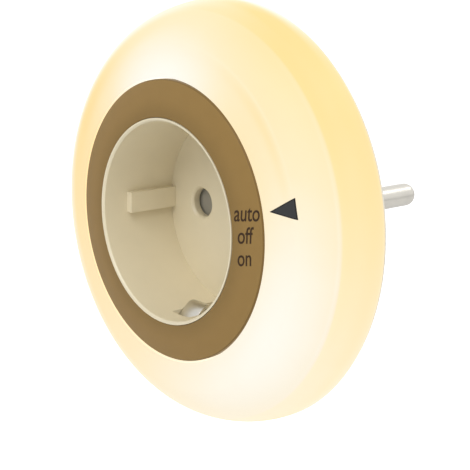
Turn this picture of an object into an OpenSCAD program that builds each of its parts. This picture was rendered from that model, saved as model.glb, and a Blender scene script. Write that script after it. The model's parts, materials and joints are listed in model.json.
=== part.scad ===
// Night light that plugs into a wall socket and passes the mains through to a socket of its own.
// A glowing ring turns round the fixed dial to choose auto, off or on.
// Every module draws in a lathe frame: its Z axis is the plug's axis, counted towards the front
// from the end face of the plug boss. facing_front() then turns it so that the front faces -Y.

/* [Diffuser] */
// Diameter of the glowing ring at its rear edge
diffuser_d = 84; // [80:0.2:90]
// Depth from the front rim of the well to the rear edge of the diffuser
diffuser_depth = 16.7; // [15:0.1:19]
// How far the side wall leans inwards from the rear edge to the shoulder
side_draft = 2.05; // [0.8:0.05:3]
// Depth of the shoulder, where the side wall starts
shoulder_depth = 7.9; // [6:0.05:9]
// Width of the rounded band between the front face and the shoulder
shoulder_w = 6.15; // [4:0.05:7]
// Depth of the outer edge of the front face
face_depth = 2.5; // [2:0.1:4]
// Half of the angle that the rounded band turns through
shoulder_half_turn = 19; // [8:1:24]
// Half of the angle that the side wall turns through
side_half_turn = 15.5; // [2:0.5:18]
// Wall thickness of the diffuser
diffuser_wall = 1.6; // [1.2:0.1:2.2]
// Thickness of the flange that the dial ring holds down
hub_flange_t = 1.35; // [1:0.05:1.8]

/* [Dial ring] */
// Outer diameter of the dial ring
ring_d = 54.4; // [53:0.2:58]
// Depth of the outer edge of the dial ring
ring_edge_depth = 1.2; // [0.6:0.1:1.8]
// Depth of the seat that carries the dial ring
ring_seat_depth = 2.8; // [2.4:0.1:3.4]
// Length of the pointer on the diffuser
pointer_len = 5.55; // [3:0.05:6]
// Width of the pointer at its base
pointer_w = 3.9; // [2:0.1:5]
// Gap between the dial ring and the tip of the pointer
pointer_gap = 1.85; // [1:0.05:3]
// Angle of the pointer above the horizontal in the auto position
pointer_angle = 13.6; // [0:0.1:20]
// Angle between two positions of the selector
selector_step = 12.5; // [10:0.5:14]

/* [Socket well] */
// Inner diameter of the well
well_d = 38.6; // [38:0.1:40]
// Depth of the well
well_depth = 17.5; // [16.5:0.1:18.5]
// Thickness of the floor of the well
floor_t = 2; // [1.6:0.1:3]
// Width of the bare lip round the mouth of the well
lip_t = 0.65; // [0.5:0.05:0.9]
// Wall thickness of the barrel round the well
barrel_wall = 3.1; // [3:0.05:3.6]
// Distance between the two pins, and between the two holes
pin_pitch = 19; // [18.6:0.1:19.4]
// Diameter of the two pin holes in the floor
pin_hole_d = 5.8; // [5.2:0.1:6]

/* [Plug] */
// Diameter of the plug boss
boss_d = 37; // [36:0.1:37.6]
// Length of the plug boss
boss_len = 17; // [16:0.1:18]
// Wall thickness of the plug boss
boss_wall = 1.8; // [1.6:0.1:2.2]
// Thickness of the end of the plug boss
boss_end_t = 2.4; // [2:0.1:3]
// Diameter of a plug pin
pin_d = 4.8; // [4.6:0.05:4.9]
// Length of a plug pin, and of the guest's pin
pin_len = 19; // [18:0.1:20]
// Thickness of the head of a plug pin
pin_head_t = 0.8; // [0.6:0.1:1.2]
// Diameter of the head of a plug pin
pin_head_d = 7.5; // [6.4:0.1:8]
// Wall thickness of a contact sleeve
sleeve_wall = 0.65; // [0.5:0.05:0.9]
// Thickness of the closed end of a contact sleeve
sleeve_end_t = 0.9; // [0.6:0.1:1.4]
// Width of the earth bracket's strip
earth_w = 5; // [4:0.1:6]
// Thickness of the earth bracket's strip
earth_t = 0.7; // [0.5:0.05:0.8]

/* [Rear housing] */
// Diameter of the flat foot that meets the wall plate
foot_d = 61; // [60:0.5:64]
// Thickness of the foot
foot_t = 2.6; // [2.4:0.1:3.4]
// Wall thickness of the dished back
back_wall = 1.8; // [1.5:0.1:2.4]
// How far the housing's rim stands back inside the diffuser's rear edge
rim_step = 0.5; // [0.1:0.05:0.8]
// Thickness of the housing's rim
rim_t = 0.6; // [0.5:0.1:1.2]

/* [Inside] */
// Depth of the rear face of the circuit board
board_depth = 14.6; // [14:0.1:15.4]
// Thickness of the circuit board
board_t = 1.6; // [1:0.1:2]
// Number of lamps
led_count = 12; // [6:1:16]
// How far the circle of lamps stands outside the middle of the reflector
led_shift = 0.2; // [-0.4:0.1:0.4]
// Side of one lamp's package
led_size = 3.5; // [2.8:0.1:4]
// Height of one lamp's package
led_t = 1.1; // [0.7:0.1:1.4]
// Thickness of the shutter
shutter_t = 1.4; // [1:0.1:1.6]
// Angle that the shutter turns through to open
shutter_open = 36; // [35:0.5:40]
// Thread diameter of the screws
screw_d = 2.2; // [1.8:0.1:2.4]
// Diameter of a mains lead over its insulation
lead_d = 1.4; // [1:0.1:1.6]
// Diameter of the light sensor's body
sensor_d = 3; // [2.6:0.1:3.4]

/* [Hidden] */

$fn = 96;
// Overlap of a cutting tool past the face that it cuts
cut = 0.1;
// Gap of a running fit on radius
run_gap = 0.05;
// Gap between pieces that must not touch
free_gap = 0.3;
// Gap between pieces that are located by each other
seat_gap = 0.1;
// Number of straight steps in a rounded band
arc_steps = 12;

// Heights along the plug's axis
// The floor of the well stands clear both of the guest's pin tips and of the foot of the housing
pin_tip_slack = 0.4;
base_room = 1.9;
sleeve_back_h = boss_end_t + pin_head_t;
sleeve_floor_h = sleeve_back_h + sleeve_end_t;
foot_in_h = boss_len + foot_t;
floor_front_h = max(sleeve_floor_h + pin_tip_slack + pin_len, foot_in_h + base_room + floor_t);
front_h = floor_front_h + well_depth;
floor_back_h = floor_front_h - floor_t;
ring_seat_h = front_h - ring_seat_depth;
ring_edge_h = front_h - ring_edge_depth;
face_h = front_h - face_depth;
shoulder_h = front_h - shoulder_depth;
rear_h = front_h - diffuser_depth;
hub_front_h = ring_seat_h - seat_gap;
hub_back_h = hub_front_h - hub_flange_t;
neck_h = hub_back_h - run_gap;
board_back_h = front_h - board_depth;
board_front_h = board_back_h + board_t;
shutter_top_h = floor_back_h - 0.4;
shutter_back_h = shutter_top_h - shutter_t;
carrier_top_h = shutter_back_h - free_gap;
carrier_back_h = sleeve_back_h + 0.2;

// Radii from the plug's axis
well_r = well_d / 2;
lip_r = well_r + lip_t;
barrel_r = well_r + barrel_wall;
neck_r = barrel_r - 0.8;
boss_r = boss_d / 2;
boss_bore_r = boss_r - boss_wall;
carrier_r = boss_bore_r - 0.2;
ring_r = ring_d / 2;
pocket_r = ring_r + free_gap;
diffuser_r = diffuser_d / 2;
shoulder_r = diffuser_r - side_draft;
face_r = shoulder_r - shoulder_w;
foot_r = foot_d / 2;
rim_r = diffuser_r - rim_step;
spigot_r = diffuser_r - diffuser_wall - 0.8;
spigot_t = 1.4;
board_r = spigot_r - spigot_t - 0.7;
board_in_r = barrel_r + 0.5;
pin_x = pin_pitch / 2;
pin_r = pin_d / 2;
pin_root_r = pin_r + 0.3;
sleeve_bore_r = pin_r + run_gap;
sleeve_r = sleeve_bore_r + sleeve_wall;

// Points of an arc from p to q that turns clockwise by twice half_turn
function arc_points(p, q, half_turn, steps = arc_steps) =
    let (d = q - p, len = norm(d), r = len / (2 * sin(half_turn)))
    let (c = (p + q) / 2 + [d[1], -d[0]] / len * r * cos(half_turn))
    let (a = atan2(p[1] - c[1], p[0] - c[0]))
    [for (i = [0:steps]) c + r * [cos(a - 2 * half_turn * i / steps), sin(a - 2 * half_turn * i / steps)]];

// Unit vector to the left of the way from p to q
function left_of(p, q) = [p[1] - q[1], q[0] - p[0]] / norm(q - p);

// A path moved to its left by d, with mitred corners
function moved_left(path, d) =
    let (last = len(path) - 1)
    [for (i = [0:last])
        let (a = left_of(path[max(i - 1, 0)], path[max(i, 1)]))
        let (b = left_of(path[min(i, last - 1)], path[min(i + 1, last)]))
        path[i] + (a + b) / (1 + a * b) * d];

function reversed(list) = [for (i = [len(list) - 1:-1:0]) list[i]];

// Outline of a bent strip of thickness t along a path
function strip(path, t) = concat(moved_left(path, t / 2), reversed(moved_left(path, -t / 2)));

module facing_front() {
    rotate([90, 0, 0]) children();
}

module at(angle, r, h = 0) {
    rotate([0, 0, angle]) translate([r, 0, h]) children();
}

module both_sides() {
    for (side = [0, 180]) rotate([0, 0, side]) children();
}

// A block centred on X and Y, from one height to another
module block(size_x, size_y, from_h, to_h) {
    translate([-size_x / 2, -size_y / 2, from_h]) cube([size_x, size_y, to_h - from_h]);
}

// A cylinder from one height to another
module rod(r, from_h, to_h) {
    translate([0, 0, from_h]) cylinder(r = r, h = to_h - from_h);
}

// ---- Rear housing: foot, dished back, rim, spigot and board posts ----

rim_front_h = rear_h - 0.2;
rim_back_h = rim_front_h - rim_t;
back_knee = [rim_r - 2.7, rim_back_h - 1];
back_tilt = atan2(back_knee[1] - boss_len, back_knee[0] - foot_r);
back_wall_h = back_wall / cos(back_tilt);
spigot_top_h = rear_h + 1.6;
board_post_d = 4.6;
board_post_r = board_r - 4;
board_post_angles = [90, 210, 330];
screw_hole_r = screw_d / 2 + seat_gap;
screw_pilot_r = screw_d / 2 + run_gap;
screw_head_r = 2.1;
screw_head_t = 1.2;
case_screw_angles = [45, 135, 225, 315];
case_screw_r = (barrel_r + foot_r) / 2;
earth_slot_w = earth_w + 0.4;
shell_flange_r = boss_r + 1.7;
shell_ledge_h = foot_in_h - 1.2;
sensor_angle = 270;
sensor_r = (foot_r + back_knee[0]) / 2 + 1;

// Height of the outer face of the dished back at a radius
function back_h(r) = boss_len + (r - foot_r) * tan(back_tilt);

// Radius that the dished back leaves free inside it at a height
function back_room_r(h) = foot_r + (h - boss_len - back_wall_h) / tan(back_tilt);

module housing_shell() {
    rotate_extrude() polygon([
        [boss_r + seat_gap, boss_len], [foot_r, boss_len], back_knee, [rim_r, rim_back_h],
        [rim_r, rim_front_h], [spigot_r, rim_front_h],
        [spigot_r, spigot_top_h], [spigot_r - spigot_t, spigot_top_h],
        [spigot_r - spigot_t, back_h(spigot_r - spigot_t) + back_wall_h],
        [back_room_r(foot_in_h), foot_in_h], [shell_flange_r + seat_gap, foot_in_h],
        [shell_flange_r + seat_gap, shell_ledge_h], [boss_r + seat_gap, shell_ledge_h]
    ]);
}

module rear_housing() {
    color("ivory") facing_front() difference() {
        union() {
            housing_shell();
            intersection() {
                for (a = board_post_angles) at(a, board_post_r)
                    rod(board_post_d / 2, boss_len, board_back_h);
                rotate_extrude() polygon([[foot_r, boss_len], back_knee, [back_knee[0], board_back_h],
                    [foot_r - board_post_d, board_back_h], [foot_r - board_post_d, boss_len]]);
            }
        }
        for (a = board_post_angles) at(a, board_post_r)
            rod(screw_pilot_r, board_back_h - board_screw_len, board_back_h + cut);
        for (a = case_screw_angles) at(a, case_screw_r) {
            rod(screw_hole_r, boss_len - cut, foot_in_h + cut);
            translate([0, 0, boss_len - cut]) cylinder(r1 = screw_head_r + 2 * seat_gap,
                r2 = screw_hole_r, h = screw_head_t + seat_gap + cut);
        }
        at_sensor() rod(sensor_d / 2 + seat_gap, -back_wall - 1, 2);
    }
}

// The sensor's own frame: its Z axis leaves the dished back squarely, from the outer face
module at_sensor() {
    at(sensor_angle, sensor_r, back_h(sensor_r)) rotate([0, 180 - back_tilt, 0]) children();
}

// ---- Plug shell: the boss that enters the wall socket, with a flange that the foot carries ----

earth_boss_z = boss_r - 0.5;
earth_window_t = 2.2;
guide_w = 4.6;
guide_len = 12;
guide_t = 0.9;

module plug_shell() {
    color("ivory") facing_front() difference() {
        rotate_extrude() polygon([
            [0, 0], [boss_r - 0.6, 0], [boss_r, 0.6], [boss_r, shell_ledge_h],
            [shell_flange_r, shell_ledge_h], [shell_flange_r, foot_in_h],
            [boss_bore_r, foot_in_h], [boss_bore_r, boss_end_t], [0, boss_end_t]
        ]);
        both_sides() translate([pin_x, 0]) rod(pin_root_r + run_gap, -cut, boss_end_t + cut);
        both_sides() translate([0, earth_boss_z]) block(earth_slot_w, 1, boss_end_t, foot_in_h + cut);
        both_sides() translate([0, earth_boss_z - 0.7])
            block(earth_slot_w, 2.4, boss_end_t, boss_end_t + earth_window_t);
        both_sides() translate([boss_r - guide_t / 2, 0]) block(guide_t + cut, guide_w, -cut, guide_len);
    }
}

// ---- Socket body: the barrel of the well, its guide ribs, the base flange and the screw posts ----

flange_r = min(foot_r - 1.2, board_post_r - board_post_d / 2 - seat_gap);
flange_top_h = foot_in_h + 1.6;
floor_rim_r = well_r + 0.5;
floor_skirt_r = floor_rim_r - 1.2;
pin_hole_lead_in = 0.5;
rib_w = guide_w - 0.4;
rib_len = guide_len - 0.4;
rib_r = boss_r - guide_t + 0.2;
case_post_d = 5.2;
case_post_top_h = board_back_h - 0.5;
case_screw_len = 6.4;
earth_well_z = well_r + 1.6;
earth_groove_z = earth_well_z + earth_t / 2 + 0.25;
earth_groove_top_h = neck_h - free_gap;
lead_notch_w = lead_d + 1;

module barrel_shell() {
    rotate_extrude() polygon([
        [floor_rim_r + seat_gap, foot_in_h], [flange_r, foot_in_h], [flange_r, flange_top_h],
        [barrel_r, flange_top_h], [barrel_r, neck_h], [neck_r, neck_h], [neck_r, ring_seat_h],
        [lip_r, ring_seat_h], [lip_r, front_h], [lip_r - 0.3, front_h], [well_r, front_h - 0.35],
        [well_r, floor_front_h], [floor_rim_r + seat_gap, floor_front_h]
    ]);
}

module socket_body() {
    color("cornsilk") facing_front() difference() {
        union() {
            barrel_shell();
            for (a = case_screw_angles) at(a, case_screw_r)
                rod(case_post_d / 2, foot_in_h, case_post_top_h);
            both_sides() translate([(rib_r + well_r + 1) / 2, 0])
                block(well_r + 1 - rib_r, rib_w, floor_front_h, floor_front_h + rib_len);
        }
        for (a = case_screw_angles) at(a, case_screw_r)
            rod(screw_pilot_r, foot_in_h - cut, boss_len + case_screw_len + 0.5);
        both_sides() translate([0, (earth_groove_z + well_r) / 2 - 0.5])
            block(earth_slot_w, earth_groove_z - well_r + 1, foot_in_h - cut, earth_groove_top_h);
        both_sides() translate([(well_r + flange_r) / 2, 0])
            block(flange_r - well_r + 4, lead_notch_w, foot_in_h - cut, floor_back_h);
    }
}

// The floor of the well stands on its rim on the plug shell, and the barrel holds it down
module well_floor() {
    color("cornsilk") facing_front() difference() {
        rotate_extrude() polygon([
            [0, floor_back_h], [floor_skirt_r, floor_back_h], [floor_skirt_r, foot_in_h],
            [floor_rim_r, foot_in_h], [floor_rim_r, floor_front_h], [0, floor_front_h]
        ]);
        both_sides() translate([pin_x, 0]) {
            rod(pin_hole_d / 2, floor_back_h - cut, floor_front_h + cut);
            translate([0, 0, floor_front_h - pin_hole_lead_in])
                cylinder(r1 = pin_hole_d / 2, r2 = pin_hole_d / 2 + pin_hole_lead_in + cut,
                    h = pin_hole_lead_in + cut);
        }
        both_sides() translate([floor_rim_r, 0])
            block(4, lead_notch_w, foot_in_h - cut, floor_back_h);
        both_sides() translate([0, floor_rim_r])
            block(earth_slot_w, 4, foot_in_h - cut, floor_back_h);
    }
}

// ---- Dial ring and diffuser ----

module dial_ring() {
    inner_r = lip_r + run_gap;
    color("#967b4e") facing_front() rotate_extrude() polygon([
        [inner_r, ring_seat_h], [ring_r, ring_seat_h], [ring_r, ring_edge_h - 0.2],
        [ring_r - 0.2, ring_edge_h], [inner_r + 0.15, front_h - 0.05], [inner_r, front_h - 0.2]
    ]);
}

// Outer outline of the diffuser from the dial ring to the rear edge
function diffuser_outline() = concat(
    [[pocket_r, ring_edge_h]],
    arc_points([face_r, face_h], [shoulder_r, shoulder_h], shoulder_half_turn),
    [for (i = [1:arc_steps])
        arc_points([shoulder_r, shoulder_h], [diffuser_r, rear_h], side_half_turn)[i]]);

// The same outline moved inwards by t
function diffuser_inset(t) = moved_left(diffuser_outline(), -t);

tab_count = 3;
tab_w = 4.8;
tab_t = 1.2;
selector_in_r = barrel_r + 0.15;
selector_r = selector_in_r + 2.05;
tab_r = (selector_in_r + selector_r) / 2;

module pointer_prism(grow, from_h, to_h) {
    tip = pocket_r - free_gap + pointer_gap - grow;
    base = ring_r + pointer_gap + pointer_len + grow;
    half = pointer_w / 2 + grow;
    rotate([0, 0, pointer_angle]) translate([0, 0, from_h]) linear_extrude(to_h - from_h)
        polygon([[tip, 0], [base, -half], [base, half]]);
}

// The skin of the diffuser between two depths below its outer face
module diffuser_skin(top, bottom) {
    rotate_extrude() polygon(concat(diffuser_inset(top), reversed(diffuser_inset(bottom))));
}

pointer_proud = 0.06;
pointer_sunk = 0.4;

module diffuser() {
    inset = diffuser_inset(diffuser_wall);
    inner = [for (i = [1:len(inset) - 1]) inset[i]];
    color("#ffefc0") facing_front() difference() {
        rotate_extrude() polygon(concat(
            [[neck_r + run_gap, hub_back_h], [neck_r + run_gap, hub_front_h], [pocket_r, hub_front_h]],
            diffuser_outline(), reversed(inner), [[face_r - 2, hub_back_h]]));
        for (i = [0:tab_count - 1]) at(i * 360 / tab_count + 60, tab_r)
            block(tab_t + 2 * seat_gap, tab_w + 2 * seat_gap, hub_back_h - cut, hub_front_h + cut);
        intersection() {
            pointer_prism(run_gap, shoulder_h, front_h);
            diffuser_skin(-1, pointer_sunk + 0.02);
        }
    }
}

module pointer_mark() {
    color("#42424a") facing_front() intersection() {
        pointer_prism(0, shoulder_h, front_h);
        diffuser_skin(-pointer_proud, pointer_sunk);
    }
}

// ---- Selector ring, its wiper and the detent ----

selector_back_h = board_front_h + 1;
wiper_t = 0.25;
wiper_angle = 90;
detent_angle = 254;
detent_from_h = board_front_h + 2.6;
detent_h = 3;
notch_t = 0.7;
pad_t = 0.05;

module selector_ring() {
    color("dimgray") facing_front() difference() {
        union() {
            rotate_extrude() polygon([
                [selector_in_r, selector_back_h], [selector_r, selector_back_h],
                [selector_r, hub_back_h], [selector_in_r, hub_back_h]
            ]);
            for (i = [0:tab_count - 1]) at(i * 360 / tab_count + 60, tab_r)
                block(tab_t, tab_w, hub_back_h - cut, hub_front_h - seat_gap);
        }
        for (i = [0:2]) at(detent_angle + i * selector_step, selector_r)
            rotate([0, 0, 45]) block(notch_t * sqrt(2), notch_t * sqrt(2), detent_from_h - 1,
                detent_from_h + detent_h + 1);
    }
}

module selector_wiper() {
    mid_r = (board_in_r + 0.4 + selector_r) / 2;
    color("goldenrod") facing_front() {
        for (a = [-18, 18]) at(wiper_angle + a, mid_r)
            rod(0.45, board_front_h + pad_t + run_gap, selector_back_h - wiper_t / 2);
        rotate([0, 0, wiper_angle - 22]) rotate_extrude(angle = 44) polygon([
            [mid_r - 0.6, selector_back_h - wiper_t], [mid_r + 0.6, selector_back_h - wiper_t],
            [mid_r + 0.6, selector_back_h], [mid_r - 0.6, selector_back_h]
        ]);
    }
}

module switch_pads() {
    color("goldenrod") facing_front() for (i = [0:3]) {
        rotate([0, 0, wiper_angle - 24 + i * selector_step]) rotate_extrude(angle = selector_step - 2)
            polygon([
                [board_in_r + 0.3, board_front_h], [selector_r, board_front_h],
                [selector_r, board_front_h + pad_t], [board_in_r + 0.3, board_front_h + pad_t]
            ]);
    }
}

// The leaf lies along the ring, with a nose in the first notch and its root in the reflector's clip
detent_leaf = [[1.9, -7.5], [1.9, -5.5], [0.6, -1.1], [-0.35, 0], [0.6, 1.1], [0.9, 3.6]];
detent_leaf_t = 0.3;

module detent_spring() {
    color("silver") facing_front() at(detent_angle, selector_r, detent_from_h)
        linear_extrude(detent_h) polygon(strip(detent_leaf, detent_leaf_t));
}

// ---- Light engine: board, lamps, reflector ----

reflector_in_r = selector_r + 1;
reflector_r = board_r - 0.2;
led_circle_r = (reflector_in_r + reflector_r) / 2 + led_shift;
reflector_back_h = board_front_h + 1.2;
reflector_t = 0.8;
reflector_front_h = reflector_back_h + reflector_t;
reflector_rim_h = reflector_front_h + 1;
clip_len = 1.8;
board_screw_len = 4.2;

module circuit_board() {
    color("seagreen") facing_front() difference() {
        rotate_extrude() polygon([
            [board_in_r, board_back_h], [board_r, board_back_h],
            [board_r, board_front_h], [board_in_r, board_front_h]
        ]);
        for (a = board_post_angles) at(a, board_post_r)
            rod(screw_hole_r, board_back_h - cut, board_front_h + cut);
    }
}

module leds() {
    color("#fff6c8") facing_front() for (i = [0:led_count - 1])
        at((i + 0.5) * 360 / led_count, led_circle_r)
            block(led_size, led_size, board_front_h, board_front_h + led_t);
}

module reflector() {
    clip = [detent_leaf[0][0], detent_leaf[0][1] + 0.9];
    color("white") facing_front() difference() {
        union() {
            rotate_extrude() polygon([
                [reflector_in_r, reflector_back_h], [reflector_r - 0.8, reflector_back_h],
                [reflector_r - 0.8, board_front_h], [reflector_r, board_front_h],
                [reflector_r, reflector_rim_h], [reflector_r - 0.8, reflector_rim_h],
                [reflector_r - 1.4, reflector_front_h], [reflector_in_r, reflector_front_h]
            ]);
            for (a = board_post_angles) at(a, board_post_r)
                rod(board_post_d / 2, board_front_h, reflector_front_h);
            at(detent_angle, selector_r + clip[0], 0) translate([0.2, clip[1]])
                block(2, clip_len, reflector_back_h, detent_from_h + detent_h);
        }
        for (a = board_post_angles) at(a, board_post_r)
            rod(screw_hole_r, board_front_h - cut, reflector_front_h + cut);
        for (i = [0:led_count - 1]) at((i + 0.5) * 360 / led_count, led_circle_r)
            block(led_size + 1, led_size + 1, board_front_h - cut, reflector_rim_h + cut);
        at(detent_angle, selector_r + clip[0], 0) translate([0, clip[1]])
            block(detent_leaf_t + seat_gap, clip_len + 1.2, detent_from_h - seat_gap / 2,
                detent_from_h + detent_h + cut);
    }
}

// A pan-head screw whose head sits on height 0 and whose shank goes down
module pan_screw(shank) {
    rotate_extrude() polygon([
        [0, -shank], [screw_d / 2 - 0.3, -shank], [screw_d / 2, -shank + 0.6], [screw_d / 2, 0],
        [1.9, 0], [1.9, 0.7], [1.3, 1.2], [0, 1.2]
    ]);
}

module cross_slot(top) {
    for (a = [0, 90]) rotate([0, 0, a]) block(2, 0.45, top - 0.6, top + cut);
}

module board_screws() {
    shank = reflector_front_h - board_back_h + board_screw_len - 0.4;
    color("silver") facing_front() for (a = board_post_angles)
        at(a, board_post_r, reflector_front_h) difference() {
            pan_screw(shank);
            cross_slot(1.2);
        }
}

module case_screws() {
    head_h = boss_len + seat_gap;
    color("silver") facing_front() for (a = case_screw_angles) at(a, case_screw_r) difference() {
        rotate_extrude() polygon([
            [0, head_h], [screw_head_r, head_h], [screw_d / 2, head_h + screw_head_t],
            [screw_d / 2, boss_len + case_screw_len - 0.6], [screw_d / 2 - 0.3, boss_len + case_screw_len],
            [0, boss_len + case_screw_len]
        ]);
        mirror([0, 0, 1]) translate([0, 0, -head_h]) cross_slot(0);
    }
}

// ---- Mains parts: pins, contacts, carrier, earth ----

pin_end_r = 2;

module plug_pin(side) {
    color("silver") facing_front() rotate([0, 0, side]) translate([pin_x, 0])
        rotate_extrude() polygon(concat(
            [[0, -pin_len]],
            [for (i = [0:8]) [pin_r - pin_end_r + pin_end_r * sin(i * 11.25),
                -pin_len + pin_end_r - pin_end_r * cos(i * 11.25)]],
            [[pin_r, 0], [pin_root_r, 0], [pin_root_r, boss_end_t], [pin_head_d / 2, boss_end_t],
            [pin_head_d / 2, sleeve_back_h], [0, sleeve_back_h]]));
}

module line_pin() {
    plug_pin(180);
}

module neutral_pin() {
    plug_pin(0);
}

tag_h = carrier_top_h - 3.8;
tag_t = 0.8;
tag_w = 2.2;
lead_x = carrier_r - lead_d / 2 - 0.5;

module contact(side) {
    color("gold") facing_front() rotate([0, 0, side]) translate([pin_x, 0]) difference() {
        union() {
            rod(sleeve_r, sleeve_back_h, carrier_top_h - seat_gap);
            translate([(lead_x + lead_d / 2 - pin_x + sleeve_bore_r) / 2, 0])
                block(lead_x + lead_d / 2 - pin_x - sleeve_bore_r, tag_w, tag_h, tag_h + tag_t);
        }
        rod(sleeve_bore_r, sleeve_floor_h, carrier_top_h);
        translate([0, 0, carrier_top_h - seat_gap - 0.5])
            cylinder(r1 = sleeve_bore_r, r2 = sleeve_bore_r + 0.5, h = 0.5 + cut);
        block(2 * sleeve_r + 1, 0.7, tag_h + tag_t + 1, carrier_top_h);
    }
}

module line_contact() {
    contact(180);
}

module neutral_contact() {
    contact(0);
}

stud_r = 2;

module contact_carrier() {
    color("tan") facing_front() difference() {
        union() {
            rod(carrier_r, carrier_back_h, carrier_top_h);
            rod(stud_r, carrier_top_h - cut, shutter_top_h + 0.1);
        }
        both_sides() translate([pin_x, 0])
            rod(sleeve_r + seat_gap, carrier_back_h - cut, carrier_top_h + cut);
        both_sides() translate([(pin_x + carrier_r) / 2 + 0.5, 0])
            block(carrier_r - pin_x + 1, tag_w + 0.6, tag_h - free_gap, carrier_top_h + cut);
        difference() {
            rod(spring_r + 0.8, spring_back_h - seat_gap, carrier_top_h + cut);
            rod(stud_r, spring_back_h - 1, carrier_top_h + 1);
        }
    }
}

// The earth strip runs from a spring in the well, down the side of the boss, across its end and back
module earth_bracket() {
    arm = [
        [earth_well_z, earth_groove_top_h - 0.4], [earth_well_z, floor_front_h + 11.6],
        [earth_well_z - 3, floor_front_h + 8], [earth_well_z, floor_front_h + 3.4],
        [earth_well_z, floor_back_h - 0.5], [earth_boss_z, foot_in_h + 0.7],
        [earth_boss_z, boss_end_t + 1.4], [earth_boss_z - 0.9, boss_end_t + earth_t / 2 + 0.05]
    ];
    other_arm = [for (p = reversed(arm)) [-p[0], p[1]]];
    color("silver") facing_front() rotate([90, 0, 90]) translate([0, 0, -earth_w / 2])
        linear_extrude(earth_w) polygon(strip(concat(arm, other_arm), earth_t));
}

// ---- Shutter: a turning plate whose holes stand off the pin holes until the guest's pins push it ----

shutter_r = pin_x + pin_hole_d / 2 + 1.1;
spring_r = stud_r + 0.9;
spring_wire = 0.5;
spring_turns = 3;
spring_pitch = 0.75;
spring_back_h = carrier_top_h - spring_turns * spring_pitch - spring_wire;

module shutter() {
    color("darkgray") facing_front() difference() {
        rod(shutter_r, shutter_back_h, shutter_top_h);
        rod(stud_r + run_gap, shutter_back_h - cut, shutter_top_h + cut);
        rotate([0, 0, shutter_open]) both_sides() translate([pin_x, 0])
            rod(pin_hole_d / 2, shutter_back_h - cut, shutter_top_h + cut);
    }
}

// A closed tube of round section along a path of points
module tube(path, r, sides = 8) {
    last = len(path) - 1;
    rings = [for (i = [0:last])
        let (t = path[min(i + 1, last)] - path[max(i - 1, 0)], u = t / norm(t))
        let (v = norm(cross(u, [0, 1, 0])) > 0.05 ? cross(u, [0, 1, 0]) : cross(u, [0, 0, 1]))
        let (n = v / norm(v), b = cross(u, n))
        for (k = [0:sides - 1]) path[i] + r * (cos(k * 360 / sides) * n + sin(k * 360 / sides) * b)];
    walls = [for (i = [0:last - 1], k = [0:sides - 1])
        let (a = i * sides + k, b = i * sides + (k + 1) % sides)
        [a, b, b + sides, a + sides]];
    ends = [[for (k = [sides - 1:-1:0]) k], [for (k = [0:sides - 1]) last * sides + k]];
    polyhedron(rings, concat(walls, ends));
}

module shutter_spring() {
    steps = 20;
    wire_r = spring_wire / 2;
    color("silver") facing_front() translate([0, 0, spring_back_h + wire_r])
        tube([for (i = [0:steps * spring_turns])
            [spring_r * cos(i * 360 / steps), spring_r * sin(i * 360 / steps), spring_pitch * i / steps]],
            wire_r, 6);
}

// ---- Parts on the back of the board ----

cap_w = 6.8;
cap_len = 12;
cap_h = 4.7;
can_d = 4.8;
can_len = 10;
bridge_w = 4;
bridge_len = 4.8;
bridge_h = 2.4;
resistor_d = 1.6;
resistor_len = 6;
fuse_d = 2.4;
fuse_len = 7;
chip_w = 1.6;
chip_len = 2.9;
chip_h = 1.1;
end_cap = 0.3;
small_part_r = (barrel_r + board_r) / 2 + 0.8;

// Radius for the centre of a part so that its outer corners stay clear of the dished back
function part_r(part_w, part_len, part_h) =
    sqrt(pow(back_room_r(board_back_h - part_h) - 0.9, 2) - pow(part_len / 2, 2)) - part_w / 2;

module dropper_capacitor() {
    color("#d8b13c") facing_front() at(163.5, part_r(cap_w, cap_len, cap_h))
        block(cap_w, cap_len, board_back_h - cap_h, board_back_h);
}

module smoothing_capacitor() {
    color("#26324d") facing_front() at(14, part_r(can_d, can_len, can_d), board_back_h - can_d / 2)
        rotate([90, 0, 0]) difference() {
            rod(can_d / 2, -can_len / 2, can_len / 2);
            rotate_extrude() translate([can_d / 2 + 0.1, can_len / 2 - 1.6]) circle(r = 0.35, $fn = 24);
        }
}

module bridge_rectifier() {
    color("#2b2b2b") facing_front() at(108, small_part_r)
        block(bridge_w, bridge_len, board_back_h - bridge_h, board_back_h);
}

// A round part that lies on the board, with a cap of a greater diameter on each end
module capped_part(d, len, cap_len) {
    rod(d / 2, -len / 2, len / 2);
    for (end = [-len / 2, len / 2 - cap_len]) rod(d / 2 + end_cap, end, end + cap_len);
}

module resistors() {
    color("#3f6fa8") facing_front() for (a = [62, 74, 290])
        at(a, small_part_r, board_back_h - resistor_d / 2 - end_cap) rotate([0, 90, 0])
            capped_part(resistor_d, resistor_len, 1);
}

module fuse() {
    color("#b8b8b0") facing_front() at(196, small_part_r + 0.5, board_back_h - fuse_d / 2 - end_cap)
        rotate([90, 0, 0]) capped_part(fuse_d, fuse_len, 1.5);
}

module switch_transistor() {
    color("#2b2b2b") facing_front() at(33, small_part_r)
        block(chip_w, chip_len, board_back_h - chip_h, board_back_h);
}

// ---- Light sensor in the lower part of the dished back ----

sensor_len = 5.2;
sensor_proud = 0.3;

module light_sensor() {
    dome_h = sensor_proud - sensor_d / 2;
    color("#f4f4ff") facing_front() at_sensor() {
        rod(sensor_d / 2 + 0.4, -back_wall - run_gap - 0.8, -back_wall - run_gap);
        rod(sensor_d / 2, -sensor_len, dome_h);
        translate([0, 0, dome_h]) sphere(sensor_d / 2);
    }
}

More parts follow.
